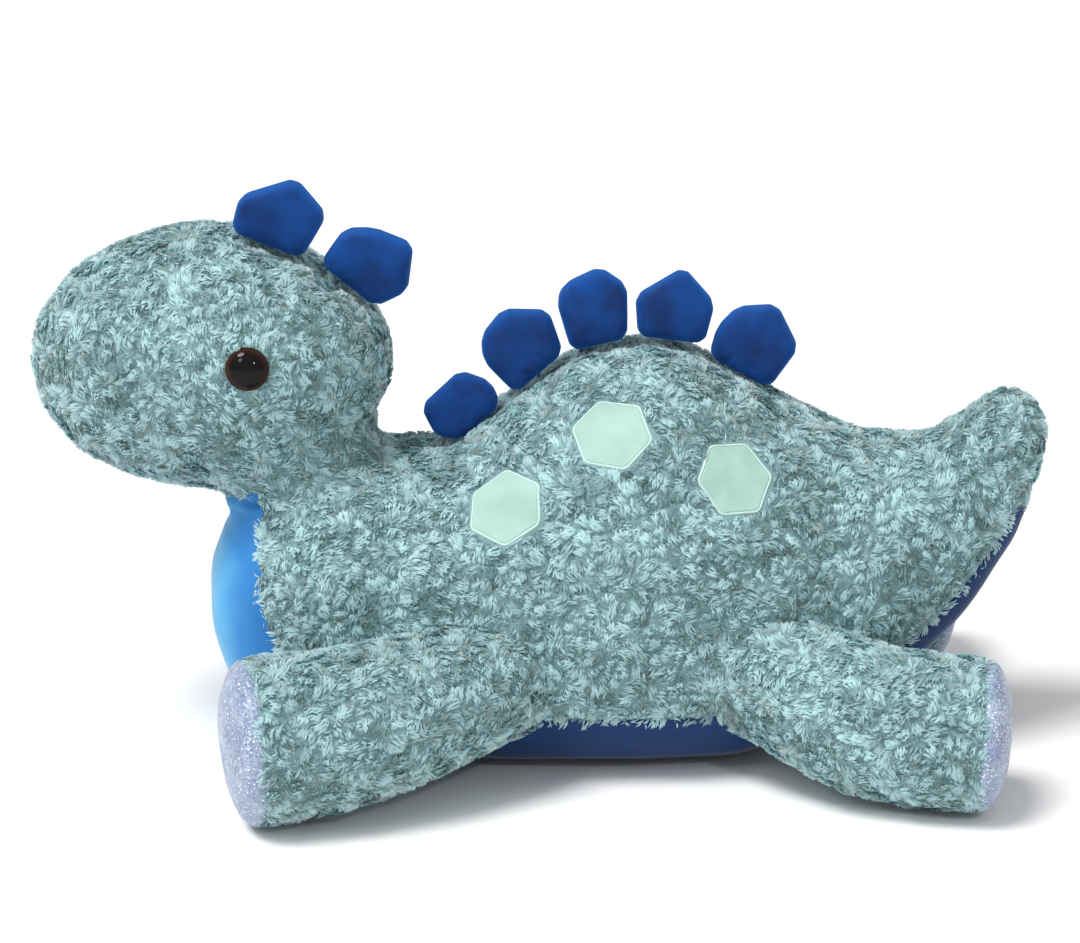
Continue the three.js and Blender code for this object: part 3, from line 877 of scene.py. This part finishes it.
def fur_piece(name, base, faces, rows):
    """One object from chosen faces of a base and chosen strands."""
    sunk, quads, shade, normals = base
    used, corners = np.unique(quads[faces].ravel(), return_inverse=True)
    corners = corners.ravel()
    base_uv = np.stack([shade[used][corners], np.full(len(corners), ROOT_SHADE)], axis=1)
    verts, strand_corners, starts, uv, turned = strand_arrays(*rows)
    return build(
        name,
        np.concatenate([sunk[used], verts]),
        np.concatenate([corners, strand_corners + len(used)]),
        np.concatenate([np.arange(len(quads[faces])) * 4, starts + len(corners)]),
        np.concatenate([base_uv, uv]),
        np.concatenate([normals[used], turned]),
    )


def not_buried(points, skins, deepest):
    """False where a point lies deeper than that inside any of the skins."""
    free = np.ones(len(points), bool)
    for skin in skins:
        box = coords(skin.data)
        near = np.all((points > box.min(0)) & (points < box.max(0)), axis=1)
        free[near] &= depths(tree_of(skin), points[near]) < deepest
    return free


fur_tree = tree_of_nodes(TRUNK_FUR)
velvet_tree = tree_of_nodes(TRUNK_VELVET)


def side_of(points):
    return np.where(points[:, 1] < 0, "left", "right")


def dress_trunk():
    """Body, head and tail fur, a left and a right piece for each region."""
    base = fur_base(trunk)
    centres = base[0][base[1]].mean(1)
    furry = nearness(fur_tree, velvet_tree, centres) < BACKING_LAP
    places, *rows = strands(trunk, velvet_tree)
    tips = rows[0][:, -1]
    keep = nearness(fur_tree, velvet_tree, places) < -PILE_GAP
    for kind, overhang in ((spots, SPOT_OVERHANG), (eyes, EYE_OVERHANG)):
        for item in kind.values():
            keep &= ~item.holds(places, ROOT_CLEAR) & ~item.holds(tips, -overhang)
    keep &= distances(plates_tree, places) > PLATE_CLEAR
    keep &= not_buried(places, leg_skins.values(), BURIED)
    face_region, face_side = regions_of(centres), side_of(centres)
    region, side = regions_of(places), side_of(places)
    for part in REGIONS:
        for flank in SIDES:
            chosen = keep & (region == part) & (side == flank)
            faces = furry & (face_region == part) & (face_side == flank)
            piece = fur_piece(f"{part}_plush_{flank}", base, faces, [row[chosen] for row in rows])
            replaced = [f"{CAD_PARTS[part]}_fur_{flank}"] if part in CAD_PARTS else []
            finish_piece(piece, FUR, replaced)
            hold(piece, part)


def dress_leg(leg):
    skin = leg_skins[leg]
    base = fur_base(skin)
    centres = base[0][base[1]].mean(1)
    cloth = tree_of_nodes([f"{leg}_leg_fur"])
    pad = tree_of_nodes([f"{leg}_foot_pad"])
    furry = nearness(cloth, pad, centres) < BACKING_LAP
    places, *rows = strands(skin, pad)
    keep = nearness(cloth, pad, places) < -PILE_GAP
    keep &= depths(trunk_tree, places) < BURIED
    piece = fur_piece(f"{leg}_leg_plush", base, furry, [row[keep] for row in rows])
    finish_piece(piece, FUR, [f"{leg}_leg_fur"])
    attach(piece, f"{leg}_leg")


dress_trunk()
for leg in LEGS:
    dress_leg(leg)


# ---------- Velvet belly, tail underside and foot pads ----------

SHEET_DIVE = 8 * MM  # how much deeper a sheet lies where the fur covers it


def sheet_of(name, skin, cloth_tree, fur, inset, shape):
    """The part of a skin near some cloth, sunk by the inset and further where it runs on under the fur."""
    mesh = skin.data.copy()
    obj = link(name, mesh)
    co = coords(mesh)
    normals = vertex_normals(mesh)
    inside = nearness(fur, cloth_tree, co)
    sink = inset + SHEET_DIVE * ramp(-inside, 1 * MM, 9 * MM)
    co -= normals * sink[:, None]
    co[:, 2] = np.maximum(co[:, 2], SHEET_FLOOR)
    set_coords(mesh, co)
    work = bmesh.new()
    work.from_mesh(mesh)
    far = [v for v, f in zip(work.verts, inside) if f < -UNDER_VELVET]
    bmesh.ops.delete(work, geom=far, context="VERTS")
    work.to_mesh(mesh)
    work.free()
    subdivide(obj)
    set_coords(obj.data, shape(coords(obj.data), vertex_normals(obj.data)))
    return obj


CHEST_BACK = -0.2  # x behind which the chest has no folds
FOLDS = (  # creases high on the chest: height, climb towards the flank, depth, half width
    (0.238, 0.10, 3.6 * MM, 3.4 * MM),
    (0.262, 0.05, 2.4 * MM, 4.2 * MM),
    (0.205, -0.12, 1.2 * MM, 5.0 * MM),
)


def chest_shape(co, normals):
    """Folds where the chest cloth is pressed under the chin, and a slight unevenness everywhere."""
    lift = 0.9 * MM * noise_at(co, 38 * MM, 5.0)
    flank = np.abs(co[:, 1])
    for height, climb, depth, width in FOLDS:
        away = co[:, 2] - height - climb * (flank - 0.06)
        here = (0.4 + 0.6 * ramp(flank, 0.0, 0.05)) * (co[:, 0] < CHEST_BACK)
        lift -= depth * here * np.exp(-((away / width) ** 2))
        lift += 0.5 * depth * here * np.exp(-(((away + 2.2 * width) / width) ** 2))
    co = co + normals * lift[:, None]
    co[:, 2] = np.maximum(co[:, 2], SHEET_FLOOR)
    return co


FEWEST_FACES = 12  # a region that holds fewer of a sheet's faces gets no piece


def split_regions(obj, label, replaced):
    """Cuts a trunk sheet into one piece for each region, and holds each."""
    mesh = obj.data
    co = coords(mesh)
    quads = [tuple(p.vertices) for p in mesh.polygons]
    region = regions_of(np.array([co[list(q)].mean(0) for q in quads]))
    for part in REGIONS:
        faces = [q for q, r in zip(quads, region) if r == part]
        if len(faces) < FEWEST_FACES:
            continue
        used, index = np.unique(np.concatenate(faces), return_inverse=True)
        index = iter(index.ravel())
        piece = mesh_object(f"{label}_{part}", co[used], [[next(index) for _ in q] for q in faces])
        finish_piece(piece, BELLY_VELVET, replaced.get(part, []))
        hold(piece, part)
    remove(obj)


under = sheet_of("under", trunk, velvet_tree, fur_tree, VELVET_BASE, chest_shape)
split_regions(under, "velvet", {"torso": ["belly_panel"], "tail": ["tail_underside"]})


def pad_shape(co, normals):
    """A foot pad's slight unevenness."""
    return co + normals * (0.8 * MM * noise_at(co, 30 * MM, 2.0))[:, None]


for leg in LEGS:
    pad_tree = tree_of_nodes([f"{leg}_foot_pad"])
    fur_cloth = tree_of_nodes([f"{leg}_leg_fur"])
    pad = sheet_of(f"{leg}_pad_cloth", leg_skins[leg], pad_tree, fur_cloth, PAD_BASE, pad_shape)
    finish_piece(pad, GLITTER, [f"{leg}_foot_pad"])
    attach(pad, f"{leg}_leg")


# ---------- Spots ----------

SPOT_RINGS = np.concatenate([np.linspace(0.08, 0.80, 12), np.linspace(0.83, 1.0, 18)])
SPOT_STEPS = 120
SPOT_PUFF = 0.5 * MM
STITCH_INSET = 3.6 * MM  # the stitched line's distance from the edge
RIM_INSET = 2.2 * MM  # the same for the paler rolled edge


def bell(values, width):
    return np.exp(-((values / width) ** 2))


def spot_profile(inward):
    """Height of a spot's cloth by the distance in from its edge: rolled, stitched, then slightly domed."""
    rolled = -5.5 * MM * (1 - ramp(inward, -0.5 * MM, 3.0 * MM)) ** 2
    groove = -0.9 * MM * bell(inward - STITCH_INSET, 0.55 * MM)
    crown = 1.6 * MM * ramp(inward, 3 * MM, 22 * MM)
    return rolled + groove + crown


def spot_piece(label, patch):
    angles = turns(SPOT_STEPS)
    reach = patch.edge(angles)
    shares = np.append(0.0, np.repeat(SPOT_RINGS, SPOT_STEPS))
    far = np.append(patch.radius * 0.87, np.tile(reach, len(SPOT_RINGS)))
    around = np.append(0.0, np.tile(angles, len(SPOT_RINGS)))
    out = (shares * far)[:, None]
    flat = patch.centre + out * (np.cos(around)[:, None] * patch.u + np.sin(around)[:, None] * patch.v)
    found = [trunk_tree.find_nearest(Vector(p)) for p in flat + patch.normal * 8 * MM]
    base = np.array([hit[0] for hit in found])
    normals = unit(np.array([hit[1] for hit in found]) + patch.normal * 0.8)
    inward = (1 - shares) * far
    puff = SPOT_PUFF * noise_at(base, 14 * MM, 9.0)
    points = base + normals * (spot_profile(inward) - SPOT_BASE + puff)[:, None]
    obj = mesh_object(f"mint_spot_{label}", points, disc_faces(len(SPOT_RINGS), SPOT_STEPS))
    point_values(obj.data, "rim", bell(inward - RIM_INSET, 0.9 * MM))
    smooth(obj, 1, 0.4)
    finish_piece(obj, MINT_VELVET, [f"spot_{label}"])
    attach(obj, "torso")


for label, patch in spots.items():
    spot_piece(label, patch)


# ---------- Plates: velvet pillows, blown up by a cloth simulation ----------

PLATE_RINGS = 13
PLATE_STEPS = 84
PLATE_SLACK = 0.965  # the pillow starts smaller than its outline, because it swells
PLATE_PUFF = 6 * MM  # how far the simulation may move a point
CLOTH_FRAMES = 20
SEAM_WIDTH = 0.9 * MM
SEAM_DEPTH = 1.0 * MM
DENT_DEPTH = 1.3 * MM
TUCK_DEPTH = 1.4 * MM  # tucks where a plate is gathered at its seam to the back
TUCK_PITCH = 3.4 * MM


class PlateFrame:
    """A plate's own plane, its outline and its thickness, from its hinge and its CAD cover."""

    def __init__(self, plate):
        joint = joints[f"{plate}_flop"]
        self.along = unit(np.array(joint["axis"], float))
        co = coords(nodes[f"{plate}_cover"].data)
        self.base = base = np.array(joint["pos_m"])
        away = co.mean(0) - base
        away -= self.along * (away @ self.along)
        self.out = unit(away)
        self.across = np.cross(self.along, self.out)
        self.thick = np.abs((co - base) @ self.across).max()
        flat = np.stack([(co - base) @ self.along, (co - base) @ self.out], axis=1)
        self.middle = (flat.max(0) + flat.min(0)) / 2
        self.flat = flat - self.middle

    def edge(self, angles):
        """How far the outline reaches in each direction, from the lines that touch it all round."""
        sides = np.linspace(0, 2 * math.pi, 240, endpoint=False)
        touch = (self.flat @ np.stack([np.cos(sides), np.sin(sides)])).max(0)
        facing = np.cos(angles[:, None] - sides[None])
        return np.where(facing > 0.05, touch[None] / np.maximum(facing, 0.05), 1e9).min(1)

    def place(self, x, y, z):
        along = np.outer(x + self.middle[0], self.along)
        out = np.outer(y + self.middle[1], self.out)
        return self.base + along + out + np.outer(z, self.across)

    def local(self, points):
        away = points - self.base
        return away @ self.along - self.middle[0], away @ self.out - self.middle[1], away @ self.across


def pillow(name, plate_frame, steps, rings, shrink, thickness):
    """Two sheets joined at a seam, thick nearly to the edge."""
    angles = turns(steps)
    reach = plate_frame.edge(angles) * shrink
    xs, ys, zs = [0.0], [0.0], [thickness]
    for share in np.sin(np.linspace(0, math.pi / 2, rings + 1)[1:]):
        xs.extend(reach * share * np.cos(angles))
        ys.extend(reach * share * np.sin(angles))
        zs.extend([thickness * (1 - share**7) ** 0.45] * steps)
    xs, ys, zs = map(np.array, (xs, ys, zs))
    front = plate_frame.place(xs, ys, zs)
    inner = len(xs) - steps
    back = plate_frame.place(xs[:inner], ys[:inner], -zs[:inner])
    seam = 1 + (rings - 1) * steps  # the front's last ring, which the back shares
    faces = []
    for middle, turned in ((0, False), (len(xs), True)):
        firsts = [middle + 1 + ring * steps for ring in range(rings - 1)] + [seam]
        for k in range(steps):
            after = (k + 1) % steps
            patch = [(middle, firsts[0] + k, firsts[0] + after)]
            for near, far in zip(firsts, firsts[1:]):
                patch.append((near + k, far + k, far + after, near + after))
            faces.extend(face[::-1] if turned else face for face in patch)
    return mesh_object(name, np.concatenate([front, back]), faces)


def inflate(obj, reach):
    """Blows a closed cloth form up with a simulation, and holds each point within reach of its start."""
    scene = bpy.context.scene
    before = coords(obj.data)
    modifier = obj.modifiers.new("cloth", "CLOTH")
    settings = modifier.settings
    settings.quality = 4
    settings.mass = 0.15
    settings.tension_stiffness = settings.compression_stiffness = 25
    settings.shear_stiffness = 12
    settings.bending_stiffness = 0.6
    settings.use_pressure = True
    settings.uniform_pressure_force = 4
    settings.effector_weights.gravity = 0
    modifier.collision_settings.use_collision = False
    modifier.point_cache.frame_start = 1
    modifier.point_cache.frame_end = CLOTH_FRAMES
    for step in range(1, CLOTH_FRAMES + 1):
        scene.frame_set(step)
    apply_modifiers(obj)
    scene.frame_set(1)
    moved = coords(obj.data) - before
    far = np.linalg.norm(moved, axis=1, keepdims=True)
    set_coords(obj.data, before + moved * np.minimum(1, reach / np.maximum(far, 1e-9)))


def plate_piece(plate):
    plate_frame = PlateFrame(plate)
    thickness = plate_frame.thick * 0.86
    obj = pillow(f"{plate}_pillow", plate_frame, PLATE_STEPS, PLATE_RINGS, PLATE_SLACK, thickness)
    inflate(obj, PLATE_PUFF)
    subdivide(obj)
    co = coords(obj.data)
    x, y, z = plate_frame.local(co)
    share = np.hypot(x, y) / plate_frame.edge(np.arctan2(y, x))
    cushion = np.sign(z) * ramp(np.abs(z), 0.0, 5 * MM)
    dents = DENT_DEPTH * noise_at(co, 26 * MM, 4.0) * ramp(1 - share, 0.02, 0.35)
    wave = np.clip(np.sin(x / TUCK_PITCH + 2.0 * noise_at(co, 15 * MM)), 0, 1)
    tucks = -TUCK_DEPTH * wave * ramp(-y, 12 * MM, 30 * MM)
    co = co + np.outer(cushion * (dents + tucks), plate_frame.across)
    seam = bell(z, SEAM_WIDTH) * ramp(share, 0.85, 0.97)
    radial = np.outer(x, plate_frame.along) + np.outer(y, plate_frame.out)
    co -= unit(radial) * (seam * SEAM_DEPTH)[:, None]
    set_coords(obj.data, co)
    # paler towards the outline: painted sheen where the pillow rounds over
    point_values(obj.data, "rim", 0.75 * ramp(share, 0.80, 1.0))
    finish_piece(obj, PLATE_VELVET, [f"{plate}_cover"])
    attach(obj, plate)


for plate in PLATES:
    plate_piece(plate)


# ---------- Eyes ----------

EYE_RINGS = 28
EYE_STEPS = 72
DOME = 0.60  # height of the dome as a share of its radius
EYE_RIM = ((1.0, 3 * MM), (0.9, 5 * MM), (0.2, 5.5 * MM))  # share of the radius, and depth behind the dome


def eye_profile(radius):
    """Rings of a dome and of the rim behind it: each one's radius and how far it lies below the top."""
    height = radius * DOME
    dome = np.linspace(0, math.pi / 2, EYE_RINGS + 1)[1:]
    rings = [(radius * math.sin(a), height * (1 - math.cos(a))) for a in dome]
    return rings + [(radius * share, height + drop) for share, drop in EYE_RIM]


def eye_piece(side):
    eye = eyes[side]
    u = unit(np.cross(eye.axis, [0, 0, 1.0]))
    v = np.cross(eye.axis, u)
    rings = eye_profile(eye.radius)
    verts = [eye.top]
    outward = [0.0]
    for radius, drop in rings:
        for a in turns(EYE_STEPS):
            verts.append(eye.top - eye.axis * drop + radius * (math.cos(a) * u + math.sin(a) * v))
            outward.append(radius / eye.radius)
    obj = mesh_object(f"glossy_eye_{side}", verts, disc_faces(len(rings), EYE_STEPS))
    work = bmesh.new()
    work.from_mesh(obj.data)
    bmesh.ops.recalc_face_normals(work, faces=work.faces)
    work.to_mesh(obj.data)
    work.free()
    point_values(obj.data, "outward", outward)
    finish_piece(obj, EYE_PLASTIC, [f"eye_{side}"])
    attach(obj, "head")


for side in SIDES:
    eye_piece(side)
    washer = nodes[f"eye_washer_{side}"]
    washer.data.materials.clear()
    washer.data.materials.append(WASHER)


# ---------- Filling ----------

LUMP = 2.0 * MM
MOST_SWELL = 0.5 * MM  # how far a lump may stand out, before the filling is shrunk


def filling_piece(node, body, shrink, voxel):
    """A lumpy copy of some stuffing, a little smaller than the space it fills."""
    obj = remesh(joined([node]), voxel)
    obj.name = node.replace("stuffing", "fill")
    co = coords(obj.data)
    lumps = np.minimum(LUMP * noise_at(co, 24 * MM, 8.0) - MOST_SWELL, MOST_SWELL)
    set_coords(obj.data, co + vertex_normals(obj.data) * (lumps - shrink)[:, None])
    smooth(obj, 2)
    finish_piece(obj, FILLING, [node])
    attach(obj, body)


for body, part in CAD_PARTS.items():
    filling_piece(f"{part}_stuffing", body, 5 * MM, 9 * MM)
for leg in LEGS:
    filling_piece(f"{leg}_leg_stuffing", f"{leg}_leg", 5 * MM, 8 * MM)
for plate in PLATES:
    filling_piece(f"{plate}_stuffing", plate, 2.5 * MM, 4 * MM)

for skin in (trunk, *leg_skins.values()):
    remove(skin)


# ---------- Floor, light and camera ----------

FLOOR_HALF = 14
FLOOR_COLOUR = (0.93, 0.93, 0.93, 1)
STUDIO_LIGHT = 0.52


def placed(name, data, place, towards):
    """A light or camera at a place, turned to look in some direction."""
    obj = bpy.data.objects.new(name, data)
    bpy.context.scene.collection.objects.link(obj)
    obj.location = place
    obj.rotation_euler = Vector(towards).to_track_quat("-Z", "Y").to_euler()
    return obj


def area_light(name, place, aim, size, power):
    data = bpy.data.lights.new(name, "AREA")
    data.shape = "DISK"
    data.size = size
    data.energy = power
    placed(name, data, place, Vector(aim) - Vector(place))


corners = [(-1, -1), (1, -1), (1, 1), (-1, 1)]
floor = mesh_object("floor", [(x * FLOOR_HALF, y * FLOOR_HALF, 0) for x, y in corners], [(0, 1, 2, 3)])
paper = Shader("floor", roughness=0.9)
paper.bsdf.inputs["Base Color"].default_value = FLOOR_COLOUR
floor.data.materials.append(paper.material)

world = bpy.data.worlds.new("studio")
bpy.context.scene.world = world
world.use_nodes = True
background = world.node_tree.nodes["Background"]
background.inputs["Color"].default_value = (1.0, 1.0, 1.0, 1)
background.inputs["Strength"].default_value = STUDIO_LIGHT

key = bpy.data.lights.new("key", "SUN")
key.energy = 2.6
key.angle = math.radians(24)
key.color = (1.0, 0.99, 0.97)
placed("key", key, (0, 0, 0), (0.45, 0.38, -1.0))
area_light("window", (-1.3, -2.0, 1.9), (-0.25, 0, 0.3), 0.7, 9)
area_light("lamp", (0.9, -2.3, 1.5), (-0.2, 0, 0.3), 0.2, 8)

CAMERA_PLACE = Vector((0, -2.8978, 1.0265))
CAMERA_AIM = Vector((0, 0, 0.25))
camera_data = bpy.data.cameras.new("camera")
camera_data.lens = 110
camera_data.sensor_width = 36
camera = placed("camera", camera_data, CAMERA_PLACE, CAMERA_AIM - CAMERA_PLACE)
bpy.context.scene.camera = camera
bpy.context.scene.view_settings.view_transform = "Standard"
